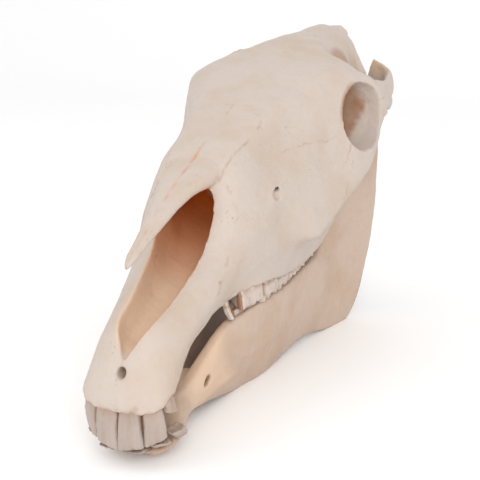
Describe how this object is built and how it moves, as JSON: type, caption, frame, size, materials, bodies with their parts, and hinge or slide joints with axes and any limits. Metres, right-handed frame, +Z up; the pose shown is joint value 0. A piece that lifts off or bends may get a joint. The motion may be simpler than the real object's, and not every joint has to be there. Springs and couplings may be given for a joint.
{
  "type": "horse skull",
  "caption": "Cleaned skull of a young adult horse with its lower jaw and teeth in place, lying on the lower borders of the jaw.",
  "frame": {"origin": "floor level, below the middle of the box round the skull and jaw", "axes": "+X to the animal's left, -Y towards the muzzle, +Y towards the back of the head, +Z up from the floor"},
  "size_m": [0.2064, 0.5154, 0.3099],
  "materials": {
    "skull_bone": "satin",
    "jaw_bone": "satin"
  },
  "bodies": {
    "root": {"braincase": "skull_bone", "frontal_bones": "skull_bone", "nasal_bone_left": "skull_bone", "nasal_bone_right": "skull_bone", "incisive_bone_left": "skull_bone", "incisive_bone_right": "skull_bone", "upper_jaw_left": "skull_bone", "upper_jaw_right": "skull_bone", "cheek_arch_left": "skull_bone", "cheek_arch_right": "skull_bone", "lower_jaw_front": "jaw_bone", "lower_jaw_left": "jaw_bone", "lower_jaw_right": "jaw_bone"}
  },
  "joints": []
}
